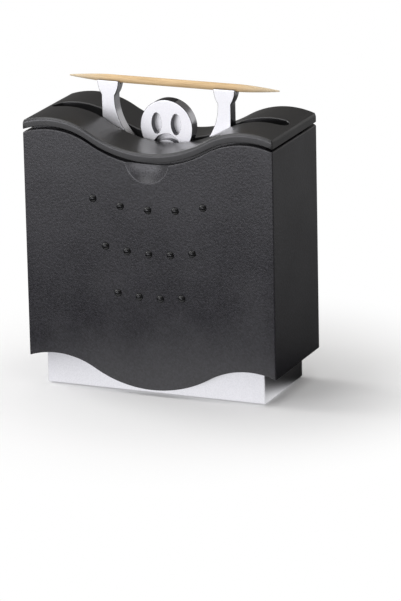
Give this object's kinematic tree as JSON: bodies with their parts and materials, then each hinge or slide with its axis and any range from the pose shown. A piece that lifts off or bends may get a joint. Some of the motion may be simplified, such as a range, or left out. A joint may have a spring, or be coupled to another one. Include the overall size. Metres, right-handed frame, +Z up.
{
  "type": "toothpick holder",
  "caption": "Table toothpick holder: a black box slides on a silver base, and a flat metal weightlifter rises through the wavy lid with a toothpick on its hands.",
  "frame": {"origin": "on the floor under the middle of the holder", "axes": "+X along the front to the right, +Y to the back, +Z up; the studs and the face look towards -Y"},
  "size_m": [0.077, 0.0348, 0.0901],
  "materials": {
    "base_metal": "satin, fine blasted",
    "figure_metal": "satin, fine brushed face, plain edges",
    "black_plastic": "fine moulded grain",
    "stud_plastic": "glossy",
    "inner_plastic": "moulded",
    "bush_plastic": "natural acetal",
    "steel": "zinc plated",
    "mount_metal": "milled",
    "rubber": "matte",
    "wood": "turned birch, unfinished"
  },
  "bodies": {
    "base": {"base_shell": "base_metal", "base_plate": "inner_plastic", "base_screws": "steel", "ballast_plate": "steel", "rubber_feet": "rubber", "guide_bushes": "bush_plastic", "figure": "figure_metal", "figure_mount": "mount_metal", "mount_screws": "steel", "figure_screws": "steel", "figure_nuts": "steel"},
    "sleeve": {"sleeve_shell": "black_plastic", "front_studs": "stud_plastic", "hopper": "inner_plastic", "side_rails": "inner_plastic", "guide_rods": "steel", "stop_washers": "steel", "stop_screws": "steel"},
    "lid": {"lid": "black_plastic"},
    "toothpick": {"toothpick": "wood"}
  },
  "joints": [
    {"name": "sleeve_slide", "type": "slide", "parent": "base", "child": "sleeve", "axis": [0, 0, 1], "range_m": [0, 0.033]},
    {"name": "lid_lift", "type": "slide", "parent": "sleeve", "child": "lid", "axis": [0, 0, 1], "range_m": [0, 0.04]},
    {"name": "toothpick_lift", "type": "slide", "parent": "base", "child": "toothpick", "axis": [0, 0, 1], "range_m": [0, 0.03]}
  ]
}
